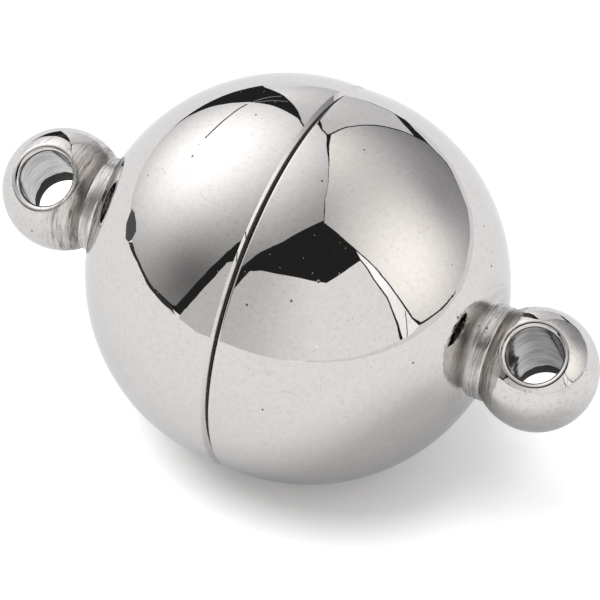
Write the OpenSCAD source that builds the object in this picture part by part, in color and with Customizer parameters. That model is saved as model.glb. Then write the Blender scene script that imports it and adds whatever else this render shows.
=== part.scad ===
// Ball-shaped magnetic clasp for a necklace or bracelet, in millimetres.
// Two round steel halves close face to face on two disc magnets. A drilled ball on each
// end takes the jump ring. The clasp's axis is X, its centre is the origin and +Z is up.

/* [Ball] */
// Diameter of the closed ball, measured across the seam
ball_d = 10; // [8.5:0.25:14]
// Straight band on each half, between its round part and the seam
band_w = 0.29; // [0.1:0.01:0.6]
// Open line between the two halves when they are closed
seam_gap = 0.06; // [0.03:0.01:0.12]
// Leg of the bevel round the left half's rim
bevel_w = 0.12; // [0.05:0.01:0.25]
// Radius of the round on the right half's rim
rim_round_r = 0.06; // [0.03:0.01:0.15]

/* [Magnets] */
// Diameter of each disc magnet
magnet_d = 6; // [4:0.25:6.5]
// Thickness of each disc magnet
magnet_t = 2; // [1.5:0.1:2.4]
// Leg of the bevel round each magnet's faces
magnet_bevel = 0.15; // [0.05:0.05:0.3]
// Open space between the two magnets when the clasp is closed
magnet_gap = 0.02; // [0.01:0.01:0.05]
// Space between a magnet and its own pocket, on each side
pocket_clearance = 0.03; // [0.02:0.01:0.06]
// Depth of the socket in the left half that the right magnet enters
socket_depth = 0.4; // [0.2:0.05:0.6]
// Space between the right magnet and the socket, on each side
socket_clearance = 0.1; // [0.06:0.01:0.2]

/* [Loops] */
// Diameter of the drilled ball that is the loop
loop_d = 3.1; // [2.8:0.1:4]
// Diameter of the hole through the loop
hole_d = 1.4; // [1:0.1:1.6]
// Leg of the bevel round the hole's rims
hole_bevel_w = 0.1; // [0.05:0.01:0.15]
// How far the hole misses the middle of the loop's ball, outwards along the clasp
hole_out = 0.12; // [0:0.01:0.2]
// How far the hole misses the middle of the loop's ball sideways
hole_aside = 0.14; // [0:0.01:0.2]
// Angle of the left loop's hole from upright, about the clasp's axis
left_hole_turn = 33; // [0:1:90]
// Angle of the right loop's hole from upright, about the clasp's axis
right_hole_turn = 23; // [0:1:90]

/* [Necks] */
// Diameter of the collar that sits on the ball
collar_d = 2.44; // [2.2:0.02:2.7]
// Thickness of the collar
collar_t = 0.4; // [0.25:0.01:0.5]
// Radius of the round on the collar's edges
collar_round_r = 0.08; // [0.03:0.01:0.12]
// Diameter of the groove where the loop's ball meets the collar
groove_d = 2.37; // [2:0.01:2.4]
// How far the collar's seat is sunk into the ball
seat_sink = 0.03; // [0.02:0.01:0.1]
// Space round the collar in its seat, on each side
seat_clearance = 0.02; // [0.01:0.01:0.05]
// Diameter of the shank that fixes the loop in its half
shank_d = 1.6; // [1.2:0.1:1.8]
// Space round the shank, under its end and under the collar
shank_clearance = 0.02; // [0.01:0.01:0.04]
// Steel left between the left magnet's pocket and the shank's hole
web_t = 0.6; // [0.3:0.1:0.8]

/* [Hidden] */
ball_r = ball_d / 2;
loop_r = loop_d / 2;
collar_r = collar_d / 2;
groove_r = groove_d / 2;
magnet_r = magnet_d / 2;
hole_r = hole_d / 2;
shank_r = shank_d / 2;
// Distances along the axis from the clasp's centre
face_x = seam_gap / 2;
round_x = face_x + band_w;
seat_r = collar_r + seat_clearance;
seat_x = round_x + sqrt(ball_r * ball_r - seat_r * seat_r) - seat_sink;
collar_x = seat_x + shank_clearance;
loop_x = collar_x + collar_t + sqrt(loop_r * loop_r - groove_r * groove_r);
// The left magnet lies at the bottom of the socket and the right one stands out into it
left_magnet_x = face_x + socket_depth;
right_magnet_x = magnet_gap - left_magnet_x;
left_pocket_x = left_magnet_x + magnet_t + pocket_clearance;
right_pocket_x = right_magnet_x + magnet_t + pocket_clearance;
// Both shanks are alike, so the deeper left pocket sets where their holes end
shank_hole_x = left_pocket_x + web_t;
// How far a cut runs on past the surface that it opens
past = 1;
// Tilts that bring a rim's middle from above the ball's centre to where the hole comes out
aside_tilt = asin(hole_aside / loop_r);
out_tilt = asin(hole_out / (loop_r * cos(aside_tilt)));
// Facets of the round surfaces in the preview
ROUND_FN = 96;

steel = [0.78, 0.77, 0.76];
nickel = [0.72, 0.71, 0.68];

// Turns a profile, drawn as radius by distance along the axis, about the clasp's axis
module about_axis() {
    rotate([0, 90, 0])
        rotate_extrude($fn = ROUND_FN)
            children();
}

// A rectangle of a profile, from the axis out to a radius and between two distances
module stretch(radius, from_x, to_x) {
    translate([0, from_x])
        square([radius, to_x - from_x]);
}

// The outer outline of one half: a quarter circle, and the straight band up to the seam
module half_outline() {
    intersection() {
        translate([0, round_x])
            circle(r = ball_r, $fn = ROUND_FN);
        stretch(ball_r, round_x, round_x + ball_r);
    }
    stretch(ball_r, face_x, round_x);
}

// The left half's rim edge, cut off at 45 degrees
module rim_bevel() {
    polygon([[ball_r - bevel_w, face_x], [ball_r + past, face_x - past],
             [ball_r + past, face_x + bevel_w], [ball_r, face_x + bevel_w]]);
}

// The right half's rim edge, rounded
module rim_round() {
    difference() {
        translate([ball_r - rim_round_r, face_x - past])
            square([rim_round_r + past, rim_round_r + past]);
        translate([ball_r - rim_round_r, face_x + rim_round_r])
            circle(r = rim_round_r, $fn = ROUND_FN);
    }
}

// What both halves lose at the pole: the flat seat of the collar and the shank's hole
module pole_cuts() {
    stretch(seat_r, seat_x, round_x + ball_r + past);
    stretch(shank_r + shank_clearance, shank_hole_x, round_x + ball_r);
}

// The left half: pocket for its magnet, and a wider socket in front of it
module left_shell() {
    color(steel)
        mirror([1, 0, 0])
            about_axis()
                difference() {
                    half_outline();
                    rim_bevel();
                    pole_cuts();
                    stretch(magnet_r + pocket_clearance, 0, left_pocket_x);
                    stretch(magnet_r + socket_clearance, 0, left_magnet_x);
                }
}

// The right half: a shallower pocket, so that its magnet stands proud
module right_shell() {
    color(steel)
        about_axis()
            difference() {
                half_outline();
                rim_round();
                pole_cuts();
                stretch(magnet_r + pocket_clearance, 0, right_pocket_x);
            }
}

// A disc magnet with bevelled edges, whose near face is at from_x
module magnet(from_x) {
    far_x = from_x + magnet_t;
    color(nickel)
        about_axis()
            polygon([[0, from_x], [magnet_r - magnet_bevel, from_x],
                     [magnet_r, from_x + magnet_bevel], [magnet_r, far_x - magnet_bevel],
                     [magnet_r - magnet_bevel, far_x], [0, far_x]]);
}

module left_magnet() {
    mirror([1, 0, 0])
        magnet(left_magnet_x);
}

module right_magnet() {
    magnet(right_magnet_x);
}

// What the bevel takes off a rim whose middle is straight above the ball's centre
module hole_bevel() {
    edge_r = hole_r + hole_bevel_w;
    edge_z = sqrt(loop_r * loop_r - edge_r * edge_r);
    rotate_extrude($fn = ROUND_FN)
        polygon([[0, edge_z - edge_r], [edge_r + past, edge_z + past], [0, edge_z + past]]);
}

// The drilled ball, centred on the origin, with its hole along Z, a little off the middle
module drilled_ball() {
    difference() {
        sphere(r = loop_r, $fn = ROUND_FN);
        translate([hole_out, -hole_aside, 0])
            cylinder(r = hole_r, h = loop_d + 2 * past, center = true, $fn = ROUND_FN);
        for (end = [0, 1])
            mirror([0, 0, end])
                rotate([aside_tilt, out_tilt, 0])
                    hole_bevel();
    }
}

// The collar with rounded edges, and the shank under it
module neck() {
    inner_r = collar_r - collar_round_r;
    about_axis() {
        stretch(inner_r, collar_x, collar_x + collar_t);
        stretch(collar_r, collar_x + collar_round_r, collar_x + collar_t - collar_round_r);
        for (ring_x = [collar_x + collar_round_r, collar_x + collar_t - collar_round_r])
            translate([inner_r, ring_x])
                circle(r = collar_round_r, $fn = ROUND_FN);
        stretch(shank_r, shank_hole_x + shank_clearance, collar_x + collar_t);
    }
}

// One loop, on the right side: the drilled ball on its neck
module loop(hole_turn) {
    color(steel) {
        translate([loop_x, 0, 0])
            rotate([hole_turn, 0, 0])
                drilled_ball();
        neck();
    }
}

module left_loop() {
    mirror([1, 0, 0])
        loop(left_hole_turn);
}

module right_loop() {
    loop(right_hole_turn);
}

left_shell();
left_magnet();
left_loop();
right_shell();
right_magnet();
right_loop();
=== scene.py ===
"""Looks of the round magnetic clasp: fine turned meshes, steel finishes, studio tent, floor and camera.

The clasp's sizes are in millimetres and become metres as each mesh is made. The studio's are in metres.
"""

import math

import bmesh
import bpy
import numpy as np
from mathutils import Matrix, Vector
from mathutils.geometry import delaunay_2d_cdt


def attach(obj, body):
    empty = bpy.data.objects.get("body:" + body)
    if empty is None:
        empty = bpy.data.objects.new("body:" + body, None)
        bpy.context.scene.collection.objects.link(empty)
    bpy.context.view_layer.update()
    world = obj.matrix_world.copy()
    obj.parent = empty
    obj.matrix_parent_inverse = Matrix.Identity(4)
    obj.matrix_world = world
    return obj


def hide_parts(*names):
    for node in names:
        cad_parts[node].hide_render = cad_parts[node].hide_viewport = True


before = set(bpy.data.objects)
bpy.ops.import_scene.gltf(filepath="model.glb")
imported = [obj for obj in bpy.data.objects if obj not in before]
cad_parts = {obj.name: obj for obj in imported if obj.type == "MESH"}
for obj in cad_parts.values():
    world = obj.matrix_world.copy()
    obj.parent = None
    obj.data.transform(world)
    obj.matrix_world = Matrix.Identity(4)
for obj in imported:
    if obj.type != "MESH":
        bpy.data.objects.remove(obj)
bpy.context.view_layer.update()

MM = 0.001

# The clasp's sizes, as in the part's source
BALL_R = 5.0
BAND_W = 0.29
SEAM_GAP = 0.06
BEVEL = 0.12
RIM_ROUND = 0.06
MAGNET_R = 3.0
MAGNET_T = 2.0
MAGNET_BEVEL = 0.15
MAGNET_GAP = 0.02
POCKET_CLEARANCE = 0.03
SOCKET_DEPTH = 0.4
SOCKET_CLEARANCE = 0.1
LOOP_R = 1.55
HOLE_R = 0.7
HOLE_OUT = 0.12
HOLE_ASIDE = 0.14
LEFT_HOLE_TURN = 33
RIGHT_HOLE_TURN = 23
COLLAR_R = 1.22
COLLAR_T = 0.4
COLLAR_ROUND = 0.08
GROOVE_R = 1.185
SEAT_SINK = 0.03
SEAT_CLEARANCE = 0.02
SHANK_R = 0.8
SHANK_CLEARANCE = 0.02
WEB_T = 0.6

# What is finer here than in the solids: breaks on the sharp edges, as turning leaves them, and rounds
# on the holes' rims
EDGE = 0.02
HOLE_ROUND = 0.12
# The collar's foot fits its seat closely, and its chamfer starts just under the ball's surface
FOOT_R = 1.2
FOOT_CLEARANCE = 0.002
FOOT_X = 5.166
FOOT_CHAMFER = 0.05

# Distances along the axis from the clasp's centre, worked out as in the part's source
FACE_X = SEAM_GAP / 2
ROUND_X = FACE_X + BAND_W
LEFT_MAGNET_X = FACE_X + SOCKET_DEPTH
RIGHT_MAGNET_X = MAGNET_GAP - LEFT_MAGNET_X
LEFT_POCKET_X = LEFT_MAGNET_X + MAGNET_T + POCKET_CLEARANCE
RIGHT_POCKET_X = RIGHT_MAGNET_X + MAGNET_T + POCKET_CLEARANCE
SHANK_HOLE_X = LEFT_POCKET_X + WEB_T
SHANK_END_X = SHANK_HOLE_X + SHANK_CLEARANCE
SEAT_X = ROUND_X + math.sqrt(BALL_R ** 2 - (COLLAR_R + SEAT_CLEARANCE) ** 2) - SEAT_SINK
COLLAR_X = SEAT_X + SHANK_CLEARANCE
COLLAR_END_X = COLLAR_X + COLLAR_T
LOOP_X = COLLAR_END_X + math.sqrt(LOOP_R ** 2 - GROOVE_R ** 2)
FOOT_END_X = FOOT_X + FOOT_CHAMFER
# Radii of the openings
POCKET_R = MAGNET_R + POCKET_CLEARANCE
SOCKET_R = MAGNET_R + SOCKET_CLEARANCE
SHANK_HOLE_R = SHANK_R + SHANK_CLEARANCE
SEAT_R = FOOT_R + FOOT_CLEARANCE

# Steps round the halves and magnets, round the loops, and along an edge's round
SPIN = 256
LOOP_SPIN = 192
EDGE_STEPS = 5
# Degrees between the points of a half's round outline, and steps along the loops' balls and holes
ARC_STEP = 0.9
BALL_STEPS = 128
WALL_STEPS = 12
# Edges sharper than this many degrees stay hard
SHARP_DEG = 35
# A point nearer to the axis than this lies on it
ON_AXIS = 1e-9


# Profiles and turned meshes

def arc(centre, radius, start, end, steps):
    """Points on a circle of the profile plane, with angles in degrees from the radius axis."""
    centre_r, centre_x = centre
    turns = [math.radians(start + (end - start) * i / steps) for i in range(steps + 1)]
    return [(centre_r + radius * math.cos(t), centre_x + radius * math.sin(t)) for t in turns]


def rounded(corners):
    """A profile from corners (radius, x) or (radius, x, round), where a round is made of short steps."""
    out = []
    for i, corner in enumerate(corners):
        here = np.array(corner[:2])
        if len(corner) == 2 or i in (0, len(corners) - 1):
            out.append(tuple(here))
            continue
        before = np.array(corners[i - 1][:2]) - here
        after = np.array(corners[i + 1][:2]) - here
        before /= np.linalg.norm(before)
        after /= np.linalg.norm(after)
        half = math.acos(max(-1.0, min(1.0, float(before @ after)))) / 2
        reach = corner[2] / math.tan(half)
        for k in range(EDGE_STEPS + 1):
            t = k / EDGE_STEPS
            # a smooth three-point curve that leaves and meets both sides along them
            out.append(tuple(here + before * reach * (1 - t) ** 2 + after * reach * t ** 2))
    return out


def ring_faces(low, high, spin):
    """The faces between two rings of points. A ring on the axis is one point, given spin times."""
    faces = []
    for k in range(spin):
        n = (k + 1) % spin
        corners = [low[k], low[n], high[n], high[k]]
        faces.append([v for i, v in enumerate(corners) if v != corners[i - 1]])
    return faces


def turned_mesh(name, profiles, to_world, spin, closed=False):
    """A mesh of points (radius, along) turned about the local Z axis: one profile, or one for each angle."""
    if callable(profiles):
        around = [profiles(2 * math.pi * k / spin) for k in range(spin)]
    else:
        around = [profiles] * spin
    verts = []
    rings = []
    for points in zip(*around):
        if points[0][0] < ON_AXIS:
            rings.append([len(verts)] * spin)
            verts.append((0.0, 0.0, points[0][1]))
            continue
        rings.append(list(range(len(verts), len(verts) + spin)))
        for k, (radius, along) in enumerate(points):
            t = 2 * math.pi * k / spin
            verts.append((radius * math.cos(t), radius * math.sin(t), along))
    pairs = list(zip(rings, rings[1:]))
    if closed:
        pairs.append((rings[-1], rings[0]))
    faces = [face for low, high in pairs for face in ring_faces(low, high, spin)]
    mesh = bpy.data.meshes.new(name)
    mesh.from_pydata(verts, [], faces)
    mesh.transform(Matrix.Scale(MM, 4) @ to_world)
    mesh.update()
    return mesh


def outward(mesh):
    """Turns every face of a closed mesh outwards."""
    bm = bmesh.new()
    bm.from_mesh(mesh)
    bmesh.ops.recalc_face_normals(bm, faces=bm.faces)
    bm.to_mesh(mesh)
    bm.free()


def linked(name, data):
    """A new object of the scene that holds the mesh, camera or light."""
    obj = bpy.data.objects.new(name, data)
    bpy.context.scene.collection.objects.link(obj)
    return obj


def along_x(side):
    """Turns the local Z axis onto the clasp's axis, away from the centre on that side."""
    return Matrix.Rotation(math.radians(90 * side), 4, "Y")


def shell_profile(inside, rim):
    """One half: its inside, its rim, the ball, the collar's seat and the shank's blind hole."""
    end = math.degrees(math.acos(SEAT_R / BALL_R))
    ball = arc((0, ROUND_X), BALL_R, 0, end, round(end / ARC_STEP))
    ball[-1] = (*ball[-1], EDGE / 2)
    pole = [(SEAT_R, SEAT_X, EDGE / 2), (SHANK_HOLE_R, SEAT_X, EDGE),
            (SHANK_HOLE_R, SHANK_HOLE_X, EDGE), (0, SHANK_HOLE_X)]
    return rounded(inside + rim + ball + pole)


def left_shell_mesh():
    inside = [(0, LEFT_POCKET_X), (POCKET_R, LEFT_POCKET_X, EDGE),
              (POCKET_R, LEFT_MAGNET_X, EDGE), (SOCKET_R, LEFT_MAGNET_X, EDGE),
              (SOCKET_R, FACE_X, 2 * EDGE)]
    rim = [(BALL_R - BEVEL, FACE_X, EDGE / 2), (BALL_R, FACE_X + BEVEL, EDGE / 2)]
    return turned_mesh("left_ball_half", shell_profile(inside, rim), along_x(-1), SPIN)


def right_shell_mesh():
    inside = [(0, RIGHT_POCKET_X), (POCKET_R, RIGHT_POCKET_X, EDGE), (POCKET_R, FACE_X, 2 * EDGE)]
    rim = arc((BALL_R - RIM_ROUND, FACE_X + RIM_ROUND), RIM_ROUND, -90, 0, 2 * EDGE_STEPS)
    return turned_mesh("right_ball_half", shell_profile(inside, rim), along_x(1), SPIN)


def magnet_mesh(name, near_x, side):
    far_x = near_x + MAGNET_T
    inner = MAGNET_R - MAGNET_BEVEL
    profile = rounded([(0, near_x), (inner, near_x, EDGE), (MAGNET_R, near_x + MAGNET_BEVEL, EDGE),
                       (MAGNET_R, far_x - MAGNET_BEVEL, EDGE), (inner, far_x, EDGE), (0, far_x)])
    return turned_mesh(name, profile, along_x(side), SPIN)


def hole_frame(side, turn_deg):
    """The frame of a loop's hole: local Z along the hole, which misses the loop's middle a little."""
    place = Matrix.Translation((side * (LOOP_X + HOLE_OUT), 0, 0))
    turn = Matrix.Rotation(math.radians(turn_deg), 4, "X")
    return place @ turn @ Matrix.Translation((0, -HOLE_ASIDE, 0))


def drilled_ball_profile(side):
    """The outline at each angle round the hole: a rounded rim, the ball, the other rim, the hole's wall."""
    def profile(turn):
        # where the ball's middle lies from the hole, along this angle and across it
        ahead = -side * HOLE_OUT * math.cos(turn) + HOLE_ASIDE * math.sin(turn)
        across = side * HOLE_OUT * math.sin(turn) + HOLE_ASIDE * math.cos(turn)
        ball_r = math.sqrt(LOOP_R ** 2 - across ** 2)
        ring_r = HOLE_R + HOLE_ROUND
        ring_z = math.sqrt((ball_r - HOLE_ROUND) ** 2 - (ring_r - ahead) ** 2)
        touch = math.degrees(math.atan2(ring_z, ring_r - ahead))
        low_rim = arc((ring_r, -ring_z), HOLE_ROUND, 180, 360 - touch, 4 * EDGE_STEPS)
        ball = arc((ahead, 0), ball_r, -touch, touch, BALL_STEPS)
        high_rim = arc((ring_r, ring_z), HOLE_ROUND, touch, 180, 4 * EDGE_STEPS)
        wall = [(HOLE_R, ring_z * (1 - 2 * k / WALL_STEPS)) for k in range(1, WALL_STEPS)]
        return low_rim[:-1] + ball + high_rim[1:] + wall
    return profile


def neck_profile():
    """The shank, the collar's foot and the collar."""
    return rounded([(0, SHANK_END_X), (SHANK_R, SHANK_END_X, 2 * EDGE), (SHANK_R, COLLAR_X, EDGE),
                    (FOOT_R, COLLAR_X), (FOOT_R, FOOT_X), (COLLAR_R, FOOT_END_X, EDGE),
                    (COLLAR_R, COLLAR_END_X, COLLAR_ROUND), (0, COLLAR_END_X)])


def united(name, mesh, other):
    """The two closed meshes as one closed mesh."""
    outward(mesh)
    outward(other)
    first = linked(name + "_first", mesh)
    second = linked(name + "_second", other)
    join = first.modifiers.new("join", "BOOLEAN")
    join.operation = "UNION"
    join.solver = "EXACT"
    join.object = second
    bpy.context.view_layer.update()
    graph = bpy.context.evaluated_depsgraph_get()
    made = bpy.data.meshes.new_from_object(first.evaluated_get(graph))
    for obj in (first, second):
        bpy.data.objects.remove(obj)
    made.name = name
    return made


def loop_mesh(name, side, turn_deg):
    """The drilled ball and its neck. The neck runs into the ball, so they are united."""
    ball = turned_mesh(name + "_ball", drilled_ball_profile(side), hole_frame(side, turn_deg),
                       LOOP_SPIN, closed=True)
    neck = turned_mesh(name + "_neck", neck_profile(), along_x(side), LOOP_SPIN)
    return united(name, ball, neck)


# Nodes that the materials are made of

# Rings nearer to the axis than this, in millimetres, don't get closer together round it
NEAREST_RING = 0.05
# How fast the turning marks' pattern runs along the right half and along the left one
MARK_GROWTH = (1.37, -1.21)
# The flat middle of a pit, as a share of its size
PIT_CORE = 0.6


def new_material(name):
    mat = bpy.data.materials.new(name)
    mat.use_nodes = True
    tree = mat.node_tree
    shader = next(n for n in tree.nodes if n.type == "BSDF_PRINCIPLED")
    return mat, tree, shader


def node(tree, kind, **values):
    made = tree.nodes.new(kind)
    for key, value in values.items():
        setattr(made, key, value)
    return made


def math_node(tree, operation, a, b=None):
    """A Math node, whose inputs are numbers or other nodes' outputs."""
    made = node(tree, "ShaderNodeMath", operation=operation)
    for i, value in enumerate((a, b)):
        if value is None:
            continue
        if isinstance(value, (int, float)):
            made.inputs[i].default_value = value
        else:
            tree.links.new(value, made.inputs[i])
    return made.outputs[0]


def times(tree, a, b):
    return math_node(tree, "MULTIPLY", a, b)


def opposite(tree, mask):
    """1 where the mask is 0, and 0 where it is 1."""
    return math_node(tree, "SUBTRACT", 1.0, mask)


def at_least(tree, value, mask, amount):
    """The value, raised to the amount where the mask is 1."""
    return math_node(tree, "MAXIMUM", value, times(tree, mask, amount))


def wavered(tree, value, waver, amount):
    """The value, with so much of a noise added to it."""
    return math_node(tree, "ADD", value, times(tree, waver, amount))


def ramp(tree, source, low, high, from_value, to_value):
    """A value that goes from one number to another while the source goes from low to high."""
    made = node(tree, "ShaderNodeMapRange", clamp=True, interpolation_type="SMOOTHSTEP")
    made.inputs["From Min"].default_value = low
    made.inputs["From Max"].default_value = high
    made.inputs["To Min"].default_value = from_value
    made.inputs["To Max"].default_value = to_value
    tree.links.new(source, made.inputs["Value"])
    return made.outputs["Result"]


def object_mm(tree):
    """The piece's own coordinates in millimetres."""
    coords = node(tree, "ShaderNodeTexCoord")
    scale = node(tree, "ShaderNodeMapping")
    scale.inputs["Scale"].default_value = [1 / MM] * 3
    tree.links.new(coords.outputs["Object"], scale.inputs["Vector"])
    return scale.outputs["Vector"]


def axes_of(tree, vector):
    parts = node(tree, "ShaderNodeSeparateXYZ")
    tree.links.new(vector, parts.inputs[0])
    return parts.outputs[0], parts.outputs[1], parts.outputs[2]


def distance_from_axis(tree, a, b):
    squares = [times(tree, v, v) for v in (a, b)]
    return math_node(tree, "SQRT", math_node(tree, "ADD", *squares))


def noise(tree, vector, scale, detail=2.0, rough=0.5):
    made = node(tree, "ShaderNodeTexNoise")
    made.inputs["Scale"].default_value = scale
    made.inputs["Detail"].default_value = detail
    made.inputs["Roughness"].default_value = rough
    tree.links.new(vector, made.inputs["Vector"])
    return made.outputs["Fac"]


def ring_noise(tree, along, a, b, fine, around, detail, rough):
    """Noise in rings round an axis: so many marks a millimetre along it, and long ones round it."""
    radius = math_node(tree, "MAXIMUM", distance_from_axis(tree, a, b), NEAREST_RING)
    space = node(tree, "ShaderNodeCombineXYZ")
    tree.links.new(times(tree, along, fine), space.inputs[0])
    for socket, value in zip(space.inputs[1:], (a, b)):
        share = math_node(tree, "DIVIDE", value, radius)
        tree.links.new(times(tree, share, around), socket)
    return noise(tree, space.outputs[0], 1.0, detail, rough)


def turning_marks(tree, space, fine, around, detail=3.0, rough=0.6):
    """Rings about the clasp's axis, on faces and balls alike."""
    x, y, z = axes_of(tree, space)
    radius = distance_from_axis(tree, y, z)
    # grows steadily along every outline, and differs between the two ends of the clasp
    right, left = (math_node(tree, "SUBTRACT", times(tree, x, growth), radius) for growth in MARK_GROWTH)
    along = math_node(tree, "MAXIMUM", right, left)
    return ring_noise(tree, along, y, z, fine, around, detail, rough)


def pits(tree, vector, scale, share, size):
    """Small round spots in a share of random cells: 1 in a pit, 0 outside."""
    cells = node(tree, "ShaderNodeTexVoronoi", feature="F1")
    cells.inputs["Scale"].default_value = scale
    tree.links.new(vector, cells.inputs["Vector"])
    near = ramp(tree, cells.outputs["Distance"], size * PIT_CORE, size, 1, 0)
    parts = node(tree, "ShaderNodeSeparateColor")
    tree.links.new(cells.outputs["Color"], parts.inputs["Color"])
    chosen = math_node(tree, "LESS_THAN", parts.outputs[0], share)
    return times(tree, near, chosen)


def mixed_colour(tree, factor, a, b):
    """A mix of two colours, each three numbers or another node's output."""
    made = node(tree, "ShaderNodeMix", data_type="RGBA")
    tree.links.new(factor, made.inputs[0])
    for socket, colour in ((made.inputs[6], a), (made.inputs[7], b)):
        if isinstance(colour, tuple):
            socket.default_value = (*colour, 1)
        else:
            tree.links.new(colour, socket)
    return made.outputs[2]


def bump(tree, height, distance_mm, below=None):
    made = node(tree, "ShaderNodeBump")
    made.inputs["Strength"].default_value = 1.0
    made.inputs["Distance"].default_value = distance_mm * MM
    tree.links.new(height, made.inputs["Height"])
    if below is not None:
        tree.links.new(below, made.inputs["Normal"])
    return made.outputs["Normal"]


# Materials

STEEL = (0.635, 0.622, 0.608)
STEEL_WARM = (0.60, 0.582, 0.562)
STEEL_DULL = (0.50, 0.485, 0.468)
TURNED_DARK = (0.15, 0.13, 0.117)
TURNED_LIGHT = (0.62, 0.60, 0.575)
COLLAR_STEEL = (0.64, 0.63, 0.61)
HOLE_DARK = (0.30, 0.29, 0.285)
HOLE_LIGHT = (0.60, 0.595, 0.585)
NICKEL_DARK = (0.62, 0.60, 0.56)
NICKEL_LIGHT = (0.70, 0.68, 0.64)
PIT = (0.13, 0.12, 0.11)
# Painted shade in the loops' holes, which stands in for the dark that their walls mirror near the ends
HOLE_SHADE_TINT = (0.03, 0.028, 0.026)
# Painted shade: the colour of the faces inside the seam, which stands in for the shade in the gap
SEAM_SHADE = (0.08, 0.076, 0.072)
# Dust spots, and the near-white painted highlight on the collars' feet
DUST_AND_HIGHLIGHT = (0.92, 0.92, 0.92)
# Steel doesn't turn white at its edges, it stays grey and cooler
EDGE_TINT = (0.87, 0.875, 0.90, 1)

# How rough each finish is. Turned marks go from the first roughness to the second as they get paler
ROUGH_MIRROR = 0.02
ROUGH_LOOP = 0.035
ROUGH_TURNED = 0.17
ROUGH_PIT = 0.3
# Where shade is painted, in the seam and in the loops' holes
ROUGH_SHADED = 0.8
ROUGH_MARKS = (0.34, 0.16)
ROUGH_PLATING = (0.2, 0.3)

# How deep each kind of mark is, in millimetres
WAVE_DEPTH = 0.004
UNEVEN_DEPTH = 0.0018
POLE_MARK_DEPTH = 0.007
PIT_DEPTH = 0.003
NECK_MARK_DEPTH = 0.011
GRIT_DEPTH = 0.003
HOLE_RING_DEPTH = 0.006
RIPPLE_DEPTH = 0.0006
PLATING_DEPTH = 0.002
# How uneven the polish is at the poles and away from them
UNEVEN_SHARE = (1.6, 0.05)
# How much of the turning marks' depth is left where a loop is polished
POLISHED_MARKS = 0.04

# The middle of a noise's values, where nearly all of them lie
NOISE_MIDDLE = (0.3, 0.7)
# Pits and dust: cells a millimetre, the share of them that has one, and its radius in cells
FINE_PITS = (6.5, 0.45, 0.105)
LARGE_PITS = (2.1, 0.2, 0.085)
DUST_SPOTS = (1.3, 0.35, 0.03)
# How strongly fine pits, scratches and grain show
FINE_PIT_SHARE = 0.5
SCRATCH_SHARE = 0.16
POLISHED_GRAIN = 0.12
TURNED_GRAIN = 0.3
# Noise levels between which grain shows, and those between which patches have scratches
GRAIN_LEVELS = (0.56, 0.7)
SCRATCHED_LEVELS = (0.56, 0.62)
# Noise levels between which turning marks go from dark to pale, on the poles, necks and holes' walls
POLE_LEVELS = (0.35, 0.6)
NECK_LEVELS = (0.34, 0.57)
HOLE_LEVELS = (0.38, 0.62)
# How dull a pole's pale marks still are
POLE_PALE = 0.2
# How much darker and paler than its tone the marks in a hole are
HOLE_DARKER = 0.42
HOLE_PALER = 0.2
# What coarse lines and grit each give to a neck's marks
LINES_SHARE = 0.7
GRIT_SHARE = 0.3
# How pale the collar is at least, and how much darker the painted shade in the groove makes it
COLLAR_PALE = 0.55
GROOVE_SHADE = 0.5
# The scratches' turn in radians, and marks a millimetre along them and across
SCRATCH_TURN = (0.5, 0.35, 0.25)
SCRATCH_SCALE = (0.12, 2.6, 2.6)
# Half a scratch's width, as a difference of noise level
SCRATCH_WIDTH = 0.005

# Millimetres along the axis between which a finish starts or ends
POLE_STARTS = (4.0, 4.4)
# Where the seam's painted shade ends
SEAM_SHADE_ENDS = (FACE_X + 0.001, FACE_X + 0.007)
# Where the painted highlight on a collar's foot starts and ends
FOOT_HIGHLIGHT_STARTS = (FOOT_X, FOOT_X + 0.01)
FOOT_HIGHLIGHT_ENDS = (FOOT_END_X, FOOT_END_X + 0.02)
COLLAR_ENDS = (COLLAR_END_X - 0.07, COLLAR_END_X - 0.01)
# Where the groove's painted shade starts and ends
GROOVE_STARTS = (COLLAR_END_X - 0.03, COLLAR_END_X + 0.02)
GROOVE_ENDS = (COLLAR_END_X + 0.06, COLLAR_END_X + 0.28)
HOLE_STARTS = (COLLAR_END_X + 0.05, COLLAR_END_X + 0.1)
# Millimetres from an axis or from the middle of a half's round part, between which it starts or ends
POLE_ENDS = (1.9, 2.5)
SMOOTHER_FROM_POLE = (1.7, 3.0)
INSIDE_ENDS = (BALL_R - 0.22, BALL_R - 0.16)
# Where the seam's painted shade starts, from the axis
SEAM_SHADE_STARTS = (4.68, 4.76)
HOLE_WALL_ENDS = (HOLE_R + 0.004, HOLE_R + 0.03)
# How far before its polished end a loop's turning marks start to fade and have faded
FADE_STARTS = 0.65
FADE_ENDS = 0.2
# How soft the edge of the painted shade in a hole is
SHADE_EDGE = 0.04
# How far noise moves the ends of the dull poles, of the turning marks, and of the painted shade in a hole up
# and across
POLE_WAVER = 0.9
FADE_WAVER = -0.6
SHADE_UP_WAVER = 0.45
SHADE_ACROSS_WAVER = 0.15

# Each loop's finish: where along the axis it is polished from, how pale its hole is, and how far painted
# shade reaches up along its hole and across it in the X direction. A place outside the wall means none
LEFT_FINISH = {"polished_from": 6.35, "hole_tone": 0.7, "shade_up": -0.35, "shade_across": -0.75}
RIGHT_FINISH = {"polished_from": 6.1, "hole_tone": 0.6, "shade_up": -0.68, "shade_across": -0.63}


def speckled(tree, space, colour, grain):
    """The colour with grain, faint fine pits, large dark ones and dust, and where the pits are."""
    grains = ramp(tree, noise(tree, space, scale=11.0, rough=0.7), *GRAIN_LEVELS, 0, grain)
    colour = mixed_colour(tree, grains, colour, PIT)
    fine = times(tree, pits(tree, space, *FINE_PITS), FINE_PIT_SHARE)
    spots = math_node(tree, "MAXIMUM", fine, pits(tree, space, *LARGE_PITS))
    pitted = mixed_colour(tree, spots, colour, PIT)
    return mixed_colour(tree, pits(tree, space, *DUST_SPOTS), pitted, DUST_AND_HIGHLIGHT), spots


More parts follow.
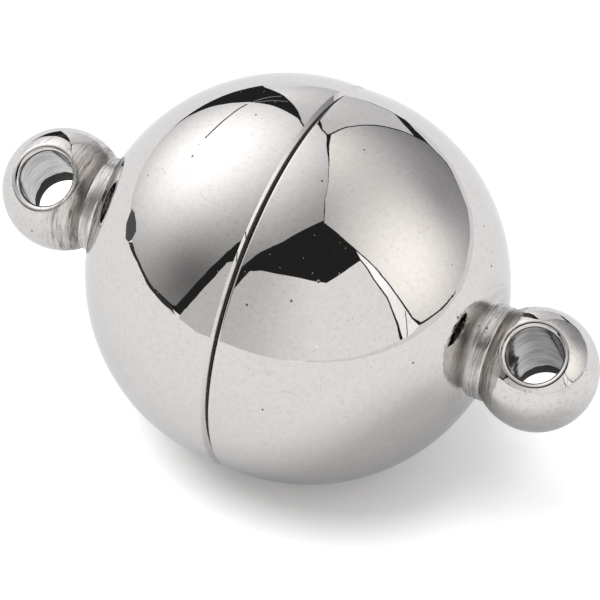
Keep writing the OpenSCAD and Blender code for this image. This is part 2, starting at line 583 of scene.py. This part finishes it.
def scratches(tree, space):
    """A few long thin scratches: 1 in a scratch, 0 outside."""
    turned = node(tree, "ShaderNodeMapping")
    turned.inputs["Rotation"].default_value = SCRATCH_TURN
    turned.inputs["Scale"].default_value = SCRATCH_SCALE
    tree.links.new(space, turned.inputs["Vector"])
    level = math_node(tree, "SUBTRACT", noise(tree, turned.outputs["Vector"], scale=1.0, detail=0.0), 0.5)
    line = ramp(tree, math_node(tree, "ABSOLUTE", level), 0.0, SCRATCH_WIDTH, 1, 0)
    patches = ramp(tree, noise(tree, space, scale=0.45, detail=0.0), *SCRATCHED_LEVELS, 0, 1)
    return times(tree, line, patches)


def clean_steel(tree, mottle):
    return mixed_colour(tree, ramp(tree, mottle, *NOISE_MIDDLE, 0, 1), STEEL, STEEL_WARM)


def left_as_turned(tree, out, radius, mottle):
    """Where a half isn't polished: round its pole, and on the flat face and in the pockets inside."""
    pole = times(tree, ramp(tree, wavered(tree, radius, mottle, POLE_WAVER), *POLE_ENDS, 1, 0),
                 ramp(tree, out, *POLE_STARTS, 0, 1))
    past_band = math_node(tree, "MAXIMUM", math_node(tree, "SUBTRACT", out, ROUND_X), 0.0)
    inside = ramp(tree, distance_from_axis(tree, radius, past_band), *INSIDE_ENDS, 1, 0)
    return math_node(tree, "MAXIMUM", pole, inside)


def polished_bumps(tree, space, radius, marks, dull, spots):
    """Faint waves, a polish that gets less even towards the poles, turning marks and pits."""
    normal = bump(tree, noise(tree, space, scale=1.2, detail=1.0), WAVE_DEPTH)
    uneven = ramp(tree, radius, *SMOOTHER_FROM_POLE, *UNEVEN_SHARE)
    normal = bump(tree, times(tree, noise(tree, space, scale=7.0), uneven), UNEVEN_DEPTH, normal)
    normal = bump(tree, times(tree, marks, dull), POLE_MARK_DEPTH, normal)
    return bump(tree, opposite(tree, spots), PIT_DEPTH, normal)


def polished_steel():
    """Mirror-polished steel: faint waves, pits and scratches, dull poles and painted shade in the seam."""
    mat, tree, shader = new_material("polished_steel")
    space = object_mm(tree)
    x, y, z = axes_of(tree, space)
    out = math_node(tree, "ABSOLUTE", x)
    radius = distance_from_axis(tree, y, z)
    marks = turning_marks(tree, space, fine=9.0, around=2.0)
    mottle = noise(tree, space, scale=7.0, detail=3.0, rough=0.65)
    dull = left_as_turned(tree, out, radius, mottle)
    # painted shade in the seam: the faces inside it are dark, rough and not metal, which makes it a dark
    # line
    seam = times(tree, ramp(tree, out, *SEAM_SHADE_ENDS, 1, 0), ramp(tree, radius, *SEAM_SHADE_STARTS, 0, 1))

    dull_tint = times(tree, dull, ramp(tree, marks, *POLE_LEVELS, 1, POLE_PALE))
    tint = mixed_colour(tree, dull_tint, clean_steel(tree, mottle), STEEL_DULL)
    tint = mixed_colour(tree, times(tree, scratches(tree, space), SCRATCH_SHARE), tint, PIT)
    tint, spots = speckled(tree, space, tint, POLISHED_GRAIN)
    tree.links.new(mixed_colour(tree, seam, tint, SEAM_SHADE), shader.inputs["Base Color"])
    tree.links.new(opposite(tree, seam), shader.inputs["Metallic"])
    shader.inputs["Specular Tint"].default_value = EDGE_TINT

    rough = ramp(tree, spots, 0, 1, ROUGH_MIRROR, ROUGH_PIT)
    rough = at_least(tree, rough, dull, ROUGH_TURNED)
    rough = at_least(tree, rough, seam, ROUGH_SHADED)
    tree.links.new(rough, shader.inputs["Roughness"])
    tree.links.new(polished_bumps(tree, space, radius, marks, dull, spots), shader.inputs["Normal"])
    return mat


def hole_space(tree, space, side, turn_deg):
    """Coordinates of a loop's hole in millimetres: Z runs along it, up from its middle."""
    upright = node(tree, "ShaderNodeVectorRotate", rotation_type="X_AXIS")
    upright.inputs["Angle"].default_value = -math.radians(turn_deg)
    tree.links.new(space, upright.inputs["Vector"])
    x, y, z = axes_of(tree, upright.outputs[0])
    return (math_node(tree, "SUBTRACT", x, side * (LOOP_X + HOLE_OUT)),
            math_node(tree, "ADD", y, HOLE_ASIDE), z)


def painted_hole_shade(tree, hx, hz, mottle, shade_up, shade_across):
    """Where shade is painted in a loop's hole: near its lower end, and up one side of it."""
    up = wavered(tree, hz, mottle, SHADE_UP_WAVER)
    across = wavered(tree, hx, mottle, SHADE_ACROSS_WAVER)
    low = ramp(tree, up, shade_up, shade_up + SHADE_EDGE, 1, 0)
    aside = ramp(tree, across, shade_across, shade_across + SHADE_EDGE, 1, 0)
    return math_node(tree, "MAXIMUM", low, aside)


def neck_tint(tree, out, lines, grit, mottle, turned):
    """A loop's colour outside its hole: turning marks on its neck, painted shade in the groove, a painted
    highlight on the collar's foot, and clean steel beyond.
    """
    collar = ramp(tree, out, *COLLAR_ENDS, 1, 0)
    marks = math_node(tree, "ADD", times(tree, lines, LINES_SHARE), times(tree, grit, GRIT_SHARE))
    shade = at_least(tree, ramp(tree, marks, *NECK_LEVELS, 0, 1), collar, COLLAR_PALE)
    # painted shade: darker in the groove behind the collar
    groove = times(tree, ramp(tree, out, *GROOVE_STARTS, 0, GROOVE_SHADE),
                   ramp(tree, out, *GROOVE_ENDS, 1, 0))
    shade = times(tree, shade, opposite(tree, groove))
    marked = mixed_colour(tree, shade, TURNED_DARK, mixed_colour(tree, collar, TURNED_LIGHT, COLLAR_STEEL))
    tint = mixed_colour(tree, turned, clean_steel(tree, mottle), marked)
    # painted highlight: the collar's foot turned near white, as a bright line where it meets the ball
    foot_highlight = times(tree, ramp(tree, out, *FOOT_HIGHLIGHT_STARTS, 0, 1), ramp(tree, out, *FOOT_HIGHLIGHT_ENDS, 1, 0))
    return mixed_colour(tree, foot_highlight, tint, DUST_AND_HIGHLIGHT)


def turned_bumps(tree, space, lines, grit, turned, hole_rings, hole):
    """Turning marks on a loop's neck and rings in its hole, and faint ripples all over."""
    strength = math_node(tree, "MAXIMUM", turned, POLISHED_MARKS)
    normal = bump(tree, times(tree, lines, strength), NECK_MARK_DEPTH)
    normal = bump(tree, times(tree, grit, strength), GRIT_DEPTH, normal)
    normal = bump(tree, times(tree, hole_rings, hole), HOLE_RING_DEPTH, normal)
    return bump(tree, noise(tree, space, scale=5.0), RIPPLE_DEPTH, normal)


def turned_steel(name, side, turn_deg, polished_from, hole_tone, shade_up, shade_across):
    """Steel left as turned on its neck and in its hole, and polished towards its outer end."""
    mat, tree, shader = new_material(name)
    space = object_mm(tree)
    out = math_node(tree, "ABSOLUTE", axes_of(tree, space)[0])
    lines = turning_marks(tree, space, fine=11.0, around=0.9, detail=4.0, rough=0.68)
    grit = turning_marks(tree, space, fine=30.0, around=3.0, detail=2.0, rough=0.7)
    mottle = noise(tree, space, scale=1.7, detail=3.0, rough=0.6)
    reach = wavered(tree, out, mottle, FADE_WAVER)
    turned = ramp(tree, reach, polished_from - FADE_STARTS, polished_from - FADE_ENDS, 1, 0)
    hx, hy, hz = hole_space(tree, space, side, turn_deg)
    hole = times(tree, ramp(tree, distance_from_axis(tree, hx, hy), *HOLE_WALL_ENDS, 1, 0),
                 ramp(tree, out, *HOLE_STARTS, 0, 1))
    hole_rings = ring_noise(tree, hz, hx, hy, fine=6.5, around=0.8, detail=3.0, rough=0.66)
    # painted shade: a dark, rough band that isn't metal, near the hole's lower end and up one side
    hole_shade = times(tree, hole, painted_hole_shade(tree, hx, hz, mottle, shade_up, shade_across))

    tint, spots = speckled(tree, space, neck_tint(tree, out, lines, grit, mottle, turned), TURNED_GRAIN)
    pale = ramp(tree, hole_rings, *HOLE_LEVELS, hole_tone - HOLE_DARKER, hole_tone + HOLE_PALER)
    tint = mixed_colour(tree, hole, tint, mixed_colour(tree, pale, HOLE_DARK, HOLE_LIGHT))
    tree.links.new(mixed_colour(tree, hole_shade, tint, HOLE_SHADE_TINT), shader.inputs["Base Color"])
    tree.links.new(opposite(tree, hole_shade), shader.inputs["Metallic"])
    shader.inputs["Specular Tint"].default_value = EDGE_TINT

    rough = times(tree, turned, ramp(tree, lines, *NOISE_MIDDLE, *ROUGH_MARKS))
    rough = at_least(tree, rough, hole, ROUGH_TURNED)
    rough = at_least(tree, rough, hole_shade, ROUGH_SHADED)
    rough = math_node(tree, "MAXIMUM", rough, ramp(tree, spots, 0, 1, ROUGH_LOOP, ROUGH_PIT))
    tree.links.new(rough, shader.inputs["Roughness"])
    normal = turned_bumps(tree, space, lines, grit, turned, hole_rings, hole)
    tree.links.new(normal, shader.inputs["Normal"])
    return mat


def magnet_plating():
    """Satin nickel over a pressed magnet."""
    mat, tree, shader = new_material("magnet_plating")
    grain = noise(tree, object_mm(tree), scale=9.0, detail=3.0, rough=0.6)
    tree.links.new(mixed_colour(tree, grain, NICKEL_DARK, NICKEL_LIGHT), shader.inputs["Base Color"])
    shader.inputs["Metallic"].default_value = 1.0
    shader.inputs["Specular Tint"].default_value = EDGE_TINT
    tree.links.new(ramp(tree, grain, *NOISE_MIDDLE, *ROUGH_PLATING), shader.inputs["Roughness"])
    tree.links.new(bump(tree, grain, PLATING_DEPTH), shader.inputs["Normal"])
    return mat


# Pieces

def dress(mesh, body, cad_node, mat):
    """Shows the mesh in place of the CAD node: smooth, but with its hard edges hard."""
    outward(mesh)
    mesh.shade_smooth()
    mesh.set_sharp_from_angle(angle=math.radians(SHARP_DEG))
    mesh.materials.append(mat)
    obj = linked(mesh.name, mesh)
    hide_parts(cad_node)
    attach(obj, body)


def build_pieces():
    polished = polished_steel()
    plating = magnet_plating()
    left_turned = turned_steel("turned_steel_left", -1, LEFT_HOLE_TURN, **LEFT_FINISH)
    right_turned = turned_steel("turned_steel_right", 1, RIGHT_HOLE_TURN, **RIGHT_FINISH)
    dress(left_shell_mesh(), "left_half", "left_shell", polished)
    dress(right_shell_mesh(), "right_half", "right_shell", polished)
    dress(magnet_mesh("left_disc_magnet", LEFT_MAGNET_X, -1), "left_half", "left_magnet",
          plating)
    dress(magnet_mesh("right_disc_magnet", RIGHT_MAGNET_X, 1), "right_core", "right_magnet",
          plating)
    dress(loop_mesh("left_ball_loop", -1, LEFT_HOLE_TURN), "left_half", "left_loop",
          left_turned)
    dress(loop_mesh("right_ball_loop", 1, RIGHT_HOLE_TURN), "right_half", "right_loop",
          right_turned)


# Camera

CAMERA_AZ = 23.44
CAMERA_EL = 43.42
CAMERA_ROLL = 4.30
CAMERA_MM = 174.68
LENS = 423.3
SENSOR = 36.0
# Nearest and farthest things that the camera sees, in metres
CLIP_NEAR = 0.01
CLIP_FAR = 10
# Where the ball's centre lies from the picture's centre, in millimetres at its distance
CENTRE_RIGHT = -0.05076
CENTRE_DOWN = -0.53952


def aim(az, el):
    """A direction from the ball: azimuth from the camera's side, positive to its right, and elevation."""
    a = math.radians(CAMERA_AZ + az)
    e = math.radians(el)
    return Vector((math.sin(a) * math.cos(e), -math.cos(a) * math.cos(e), math.sin(e)))


def camera_axes():
    """The camera's right, up and backward directions."""
    back = aim(0, CAMERA_EL)
    level = aim(90, 0)
    roll = math.radians(CAMERA_ROLL)
    right = level * math.cos(roll) + back.cross(level) * math.sin(roll)
    return right, back.cross(right), back


def build_camera():
    right, up, back = camera_axes()
    data = bpy.data.cameras.new("camera")
    data.lens = LENS
    data.sensor_width = SENSOR
    data.clip_start = CLIP_NEAR
    data.clip_end = CLIP_FAR
    cam = linked("camera", data)
    spot = (back * CAMERA_MM - right * CENTRE_RIGHT + up * CENTRE_DOWN) * MM
    turn = Matrix((right, up, back)).transposed().to_4x4()
    cam.matrix_world = Matrix.Translation(spot) @ turn
    bpy.context.scene.camera = cam


# Studio

# The tent of lit sheets round the clasp, and what stands a little or well inside it
TENT_R = 0.16
NEAR_R = 0.99 * TENT_R
RISE_R = 0.985 * TENT_R
HEM_R = 0.10
FRONT_FOOT_R = 0.068
GAP_R = 0.052
# The dark room outside the tent, and the floor's own light inside it
ROOM_R = 0.20
DOME_R = 0.15
# Degrees between the points of a sheet's outline, and how near two points count as one
SHEET_STEP = 3.0
SAME_POINT = 1e-6
# Asks for triangles inside the outline only
FILL_INSIDE = 1

# The sheets' corners: azimuth from the camera's side, positive to its right, and elevation
LEFT_SHEET = [
    (-60, 1.5), (-56, 13), (-53, 25), (-50, 38.5), (-47, 49.5), (-35.5, 60.5), (-21, 70),
    (25, 77.8), (41, 82.8), (99, 85.5), (143, 81.2), (167.5, 68), (171, 63), (175.5, 52.5),
    (177, 44.5), (179, 41.5), (-179.5, 38), (-176.5, 34.5), (-172.5, 29), (-168.5, 23),
    (-164.5, 17), (-162, 14), (-159, 9.5), (-157, 5), (-155.5, 3), (-153, 0.5),
    (-147, -1.5), (-109, -1.5), (-90, -1), (-77, -0.5), (-62, 0.5)]
RIGHT_SHEET = [
    (23.5, 76.5), (40, 65.5), (46.5, 57.5), (52, 45), (55, 33.5), (57, 24.5), (59, 15.5),
    (61, 8.5), (65, 3.5), (72, 2), (87, 1), (96, 0), (128, 0), (136, 2), (145, 2.5),
    (148, 3.5), (151.5, 5), (153, 8), (157, 15.5), (161, 23), (168, 33.5), (174.5, 43.5),
    (173.5, 52), (170, 62.5), (166.9, 67.7), (142.8, 81), (99, 85.2), (43, 82.3), (27, 78)]
FRONT_SHEET = [
    (-34, -1.5), (0, -1.5), (4.5, -1), (25, -0.5), (38, 0), (47, 0.5), (51.5, 0.5),
    (50.5, 13.5), (50, 25.5), (47, 37), (44.5, 49.5), (31, 48), (13, 43), (-37.5, 41.5),
    (-44.5, 38), (-46.5, 28), (-51, 13), (-55.5, -1.5)]
# The front sheet's foot, which stands nearer to the clasp
FRONT_FOOT = [
    (-50.5, 7), (-52, 7), (-54, 3.5), (-55.5, -2), (-47.5, -2.5), (-44, -3), (-40.5, -2.5),
    (-37, -2), (-28.5, -1.5), (-20, -1.5), (-11.5, -1), (-3.5, -0.5), (4.5, 0.5), (4.5, 7)]
STRIP_SHEET = [
    (53, 1), (56, 0.5), (60, 1), (63.5, 2.5), (60, 8.5), (58, 15.5), (56, 24.5), (54, 33.5),
    (51, 44.5), (46.5, 55), (45.5, 50.5), (48, 37), (51, 25.5), (51.5, 13.5)]
BACK_SHEET = [
    (159, 5.5), (164.5, -0.5), (176, -0.5), (-179.5, 2), (-176.5, 4), (-172, 3), (-173.5, 9.5),
    (-175.5, 16.5), (-177, 23), (-179.5, 31), (179, 38), (178.5, 40.5), (176.5, 43.5),
    (175.5, 43), (169, 33.5), (162, 23), (158, 15.5), (154, 8.5)]
# The floor's far parts, which rise to meet the sheets
RISE_SHEET = [
    (-2, -3), (0.5, -1.5), (4.5, -0.5), (25, 0), (38, 0.5), (47, 1), (57, 1), (64, 2.5),
    (72, 1), (87, 0), (96, 1), (111, 1.5), (128, 1), (134, 2), (139, 2), (145, 1.5),
    (151, 3.5), (157, 2.5), (161.5, -1), (165, -2), (166, -4), (120, -4), (70, -4), (20, -4)]
BACK_RISE_SHEET = [
    (166, -2.5), (165, -2), (176, 0), (-179.5, 2.5), (-176.5, 4.5), (-172, 3), (-172, -2.5)]
# Dark and faint things on the sheets: a rod with its end, a line on the strip, a fold, and at the
# left sheet's foot its hem and a gap above the hem
ROD = [(-163.5, 18.5), (-155.5, 23), (-151.5, 24.5), (-145.5, 26.5), (-140, 27.5)]
# The rod's end, in two spots: azimuth, elevation, half width and half height
ROD_SPOTS = [(-136, 27.5, 0.35, 0.3), (-129, 29, 0.9, 0.55)]
SPOT_CORNERS = 8
# Pale things in the dark corner over the rod
CORNER_ARCS = [[(-165.5, 18), (-168.5, 16.5), (-171.5, 16), (-174.5, 16.5)],
               [(-166.5, 19), (-170, 20), (-173, 21), (-176, 23)]]
STRIP_LINE = [(57.5, 14), (55, 1), (55.5, 1), (58, 14)]
FOLD = [(-129.5, 2.5), (-129, 5.5), (-128.5, 8.5), (-126, 14), (-122.5, 17.5), (-122.5, 20.5),
        (-123, 24)]
HEM = [
    (-101, -0.5), (-96, -0.5), (-90, 0), (-84.5, 0), (-79, 0), (-73, 0), (-66.5, 0), (-62, 0),
    (-58, -2.5), (-62, -2), (-67.5, -2.5), (-74, -2), (-80.5, -2), (-86, -1.5), (-91.5, -1.5),
    (-98, -2.5), (-103.5, -3)]
GAP = [(-114.5, 2), (-112.5, 0), (-110.5, -2), (-107.5, -2.5), (-105, -3), (-102, -1.5),
       (-101, 1), (-102, 4.5), (-106, 5), (-111, 4)]
# Widths of the narrow strips, in degrees
ROD_WIDE = 0.9
ARC_WIDE = 0.8
FOLD_WIDE = 0.3

# How brightly each sheet glows by itself
LEFT_BASE = 0.30
RIGHT_BASE = 0.20
STRIP_BASE = 1.35
BACK_BASE = 0.80
RISE_BASE = 0.97
BACK_RISE_BASE = 1.10
DARK_BASE = 0.05
ARC_BASE = 0.30
FOLD_BASE = 0.85
GAP_BASE = 0.12
DOME_BASE = 1.0
# What the lamps behind the sheets add or take: azimuth, elevation, width in degrees and strength
LEFT_LAMPS = [(-132, 38, 41, 1.64), (-65, 23, 22, -0.25)]
RIGHT_LAMPS = [(73, 31, 45, 1.32), (-164, 52, 31, 1.12), (120, 22, 15, -0.23)]
STRIP_LAMPS = [(49, 38, 12, 0.3)]
BACK_LAMPS = [(-167, 15, 14, 0.6)]
# The front sheet's glow changes across it: between which azimuths, and from what to what
FRONT_ACROSS = (-42, 12, 0.74, 1.13)
# The colours of the light, and the glows between which the warm one turns from dim to bright
COOL_LIGHT = (1.0, 1.0, 1.01)
WARM_LIGHT = (1.0, 0.975, 0.945)
WARM_LIGHT_DIM = (1.0, 0.99, 1.045)
FRONT_LIGHT = (1.0, 0.98, 0.973)
DOME_LIGHT = (1.0, 1.0, 1.0)
DIM_TO_BRIGHT = (0.3, 1.2)
# The dome's rings, the points of each, and the elevations between which they lie
DOME_RINGS = 12
DOME_POINTS = 32
DOME_LOW = -3
DOME_HIGH = 90
# The soft suns: azimuth, elevation, size in degrees and strength
SEEN_SUN = (-75, 70.6, 48, 3.2)
MIRRORED_SUN = (-128, 34, 38, 3.0)
# How much light the floor throws back, as the camera sees it and as the clasp mirrors it
SEEN_FLOOR = 0.95
MIRRORED_FLOOR = 0.745
ROUGH_FLOOR = 0.9
# The dark room's grey
ROOM_TONE = 0.02
ROUGH_ROOM = 1.0
# Half the floor's side
FLOOR_HALF = 3.0
FLOOR_Z = -BALL_R * MM


def lamps_glow(base, lamps=()):
    """How brightly a sheet glows towards each direction: a base, and a soft round spot for each lamp."""
    def glow(point):
        value = base
        for az, el, width, strength in lamps:
            angle = math.degrees(aim(az, el).angle(point))
            value += strength * math.exp(-(angle / width) ** 2)
        return max(value, 0.0)
    return glow


def across_glow(low_az, high_az, low, high):
    """A glow that goes from one value to another between two azimuths."""
    def glow(point):
        ahead = point.dot(aim(0, 0))
        aside = point.dot(aim(90, 0))
        t = (math.degrees(math.atan2(aside, ahead)) - low_az) / (high_az - low_az)
        t = max(0.0, min(1.0, t))
        return low + (high - low) * t * t * (3 - 2 * t)
    return glow


def glow_material(name, colour, dim_colour=None):
    """Plain light, as bright as the mesh's own glow says, which may have another colour where it is dim."""
    mat = bpy.data.materials.new(name)
    mat.use_nodes = True
    tree = mat.node_tree
    tree.nodes.clear()
    out = node(tree, "ShaderNodeOutputMaterial")
    light = node(tree, "ShaderNodeEmission")
    glow = node(tree, "ShaderNodeAttribute", attribute_name="glow")
    if dim_colour is None:
        light.inputs["Color"].default_value = (*colour, 1)
    else:
        bright = ramp(tree, glow.outputs["Fac"], *DIM_TO_BRIGHT, 0, 1)
        tree.links.new(mixed_colour(tree, bright, dim_colour, colour), light.inputs["Color"])
    tree.links.new(glow.outputs["Fac"], light.inputs["Strength"])
    tree.links.new(light.outputs[0], out.inputs["Surface"])
    return mat


def matt_material(name, tone, rough):
    """A grey that mirrors nothing."""
    mat, _, shader = new_material(name)
    shader.inputs["Base Color"].default_value = (tone, tone, tone, 1)
    shader.inputs["Roughness"].default_value = rough
    shader.inputs["Specular IOR Level"].default_value = 0.0
    return mat


def lit_mesh(name, verts, faces, glow, mat):
    """A glowing mesh of the studio, which the camera doesn't see and which throws no shadow."""
    mesh = bpy.data.meshes.new(name)
    mesh.from_pydata(verts, [], faces)
    values = [glow(Vector(v).normalized()) for v in verts]
    mesh.attributes.new("glow", "FLOAT", "POINT").data.foreach_set("value", values)
    mesh.materials.append(mat)
    obj = linked(name, mesh)
    obj.visible_camera = False
    obj.visible_shadow = False
    return obj


def sheet_edge(corners):
    """Directions along a sheet's outline."""
    edge = []
    for here, there in zip(corners, corners[1:] + corners[:1]):
        a = aim(*here)
        b = aim(*there)
        steps = max(1, round(math.degrees(a.angle(b)) / SHEET_STEP))
        edge += [a.slerp(b, i / steps) for i in range(steps)]
    return edge


def grid_over(flat):
    """A grid of points over a sheet laid out flat, about one step apart once they are on the sphere."""
    low = [min(p[i] for p in flat) for i in (0, 1)]
    high = [max(p[i] for p in flat) for i in (0, 1)]
    gap = math.radians(SHEET_STEP) / 2
    count = [int((high[i] - low[i]) / gap) for i in (0, 1)]
    return [Vector((low[0] + gap * (i + 0.5), low[1] + gap * (j + 0.5)))
            for i in range(count[0]) for j in range(count[1])]


def filled(edge, radius):
    """The points and faces of a piece of sphere inside an outline of directions."""
    middle = sum(edge, Vector()).normalized()
    u = middle.orthogonal().normalized()
    v = middle.cross(u)
    # the sphere is laid out flat from the point opposite the sheet's middle
    flat = [Vector((p.dot(u), p.dot(v))) / (1 + p.dot(middle)) for p in edge]
    outline = list(range(len(flat)))
    points, _, faces, *_ = delaunay_2d_cdt(flat + grid_over(flat), [], [outline], FILL_INSIDE, SAME_POINT)
    used = sorted({k for face in faces for k in face})
    verts = []
    for x, y in (points[k] for k in used):
        r = x * x + y * y
        verts.append((u * 2 * x + v * 2 * y + middle * (1 - r)) / (1 + r) * radius)
    place = {k: i for i, k in enumerate(used)}
    return verts, [[place[k] for k in face] for face in faces]


def sheet(name, corners, glow, mat, radius):
    """A sheet of the tent, whose sides look straight from the ball and which only reflections see."""
    verts, faces = filled(sheet_edge(corners), radius)
    obj = lit_mesh(name, verts, faces, glow, mat)
    obj.visible_diffuse = False


def ribbon(path, wide):
    """The outline of a narrow strip along a path of directions, wide in degrees."""
    return [(az, el + wide / 2) for az, el in path] + [(az, el - wide / 2) for az, el in path[::-1]]


def round_spot(az, el, half_wide, half_high):
    turns = [2 * math.pi * k / SPOT_CORNERS for k in range(SPOT_CORNERS)]
    return [(az + half_wide * math.cos(t), el + half_high * math.sin(t)) for t in turns]


def build_sheets(cool, warm, front):
    """The large sheets, and the parts of the floor that rise to them."""
    front_glow = across_glow(*FRONT_ACROSS)
    sheet("left_sheet", LEFT_SHEET, lamps_glow(LEFT_BASE, LEFT_LAMPS), cool, TENT_R)
    sheet("right_sheet", RIGHT_SHEET, lamps_glow(RIGHT_BASE, RIGHT_LAMPS), warm, TENT_R)
    sheet("front_sheet", FRONT_SHEET, front_glow, front, TENT_R)
    sheet("front_foot", FRONT_FOOT, front_glow, front, FRONT_FOOT_R)
    sheet("strip_sheet", STRIP_SHEET, lamps_glow(STRIP_BASE, STRIP_LAMPS), cool, TENT_R)
    sheet("back_sheet", BACK_SHEET, lamps_glow(BACK_BASE, BACK_LAMPS), cool, TENT_R)
    sheet("rise_sheet", RISE_SHEET, lamps_glow(RISE_BASE), cool, RISE_R)
    sheet("back_rise_sheet", BACK_RISE_SHEET, lamps_glow(BACK_RISE_BASE), cool, RISE_R)


def build_sheet_marks(cool):
    """The dark and faint things that stand before the sheets."""
    dark = lamps_glow(DARK_BASE)
    sheet("rod", ribbon(ROD, ROD_WIDE), dark, cool, NEAR_R)
    for i, spot in enumerate(ROD_SPOTS):
        sheet("rod_dot_%d" % i, round_spot(*spot), dark, cool, NEAR_R)
    for i, path in enumerate(CORNER_ARCS):
        sheet("corner_arc_%d" % i, ribbon(path, ARC_WIDE), lamps_glow(ARC_BASE), cool, NEAR_R)
    sheet("strip_line", STRIP_LINE, dark, cool, NEAR_R)
    sheet("fold", ribbon(FOLD, FOLD_WIDE), lamps_glow(FOLD_BASE), cool, NEAR_R)
    sheet("hem", HEM, dark, cool, HEM_R)
    sheet("gap", GAP, lamps_glow(GAP_BASE), cool, GAP_R)


def build_tent():
    cool = glow_material("cool_light", COOL_LIGHT)
    warm = glow_material("warm_light", WARM_LIGHT, WARM_LIGHT_DIM)
    front = glow_material("front_light", FRONT_LIGHT)
    for mat in (cool, warm, front):
        mat.cycles.emission_sampling = "NONE"
    build_sheets(cool, warm, front)
    build_sheet_marks(cool)


def build_room():
    """The dark room round the tent, which shows only in reflections, through the tent's gaps."""
    bpy.ops.mesh.primitive_ico_sphere_add(subdivisions=4, radius=ROOM_R)
    obj = bpy.context.object
    obj.name = "dark_room"
    obj.data.materials.append(matt_material("dark_room", ROOM_TONE, ROUGH_ROOM))
    obj.visible_camera = False
    obj.visible_diffuse = False
    obj.visible_shadow = False


def build_dome():
    """The light that falls on the floor from all round."""
    verts = []
    faces = []
    for j in range(DOME_RINGS + 1):
        el = DOME_LOW + (DOME_HIGH - DOME_LOW) * j / DOME_RINGS
        verts += [aim(360 * k / DOME_POINTS, el) * DOME_R for k in range(DOME_POINTS)]
    for j in range(DOME_RINGS):
        low = [DOME_POINTS * j + k for k in range(DOME_POINTS)]
        high = [k + DOME_POINTS for k in low]
        faces += ring_faces(low, high, DOME_POINTS)
    obj = lit_mesh("floor_light", verts, faces, lamps_glow(DOME_BASE),
                   glow_material("floor_light", DOME_LIGHT))
    obj.visible_glossy = False


def build_sun(name, az, el, size, strength, floor):
    """A large soft light, which falls on one of the floors and isn't mirrored itself."""
    data = bpy.data.lights.new(name, "SUN")
    data.energy = strength
    data.angle = math.radians(size)
    obj = linked(name, data)
    obj.rotation_euler = aim(az, el).to_track_quat("Z", "Y").to_euler()
    obj.visible_glossy = False
    lit = bpy.data.collections.new(name + "_floor")
    lit.objects.link(floor)
    obj.light_linking.receiver_collection = lit


def floor_plane(name, tone):
    """A large square under the clasp. Two of them lie in one place, so neither may shade the other."""
    mesh = bpy.data.meshes.new(name)
    corners = [(-1, -1), (1, -1), (1, 1), (-1, 1)]
    mesh.from_pydata([(x * FLOOR_HALF, y * FLOOR_HALF, FLOOR_Z) for x, y in corners], [], [(0, 1, 2, 3)])
    mesh.materials.append(matt_material(name, tone, ROUGH_FLOOR))
    obj = linked(name, mesh)
    obj.visible_diffuse = False
    obj.visible_shadow = False
    return obj


def build_floor():
    """The floor as the camera sees it, and as the clasp mirrors it, each under its own soft sun."""
    seen = floor_plane("floor", SEEN_FLOOR)
    seen.visible_glossy = False
    mirrored = floor_plane("mirrored_floor", MIRRORED_FLOOR)
    mirrored.visible_camera = False
    build_sun("seen_sun", *SEEN_SUN, seen)
    build_sun("mirrored_sun", *MIRRORED_SUN, mirrored)


def build_world():
    world = bpy.data.worlds.new("pale_world")
    world.use_nodes = True
    back = next(n for n in world.node_tree.nodes if n.type == "BACKGROUND")
    back.inputs["Color"].default_value = (1, 1, 1, 1)
    back.inputs["Strength"].default_value = 1.0
    bpy.context.scene.world = world
    bpy.context.scene.view_settings.view_transform = "Standard"


build_pieces()
build_camera()
build_floor()
build_tent()
build_room()
build_dome()
build_world()
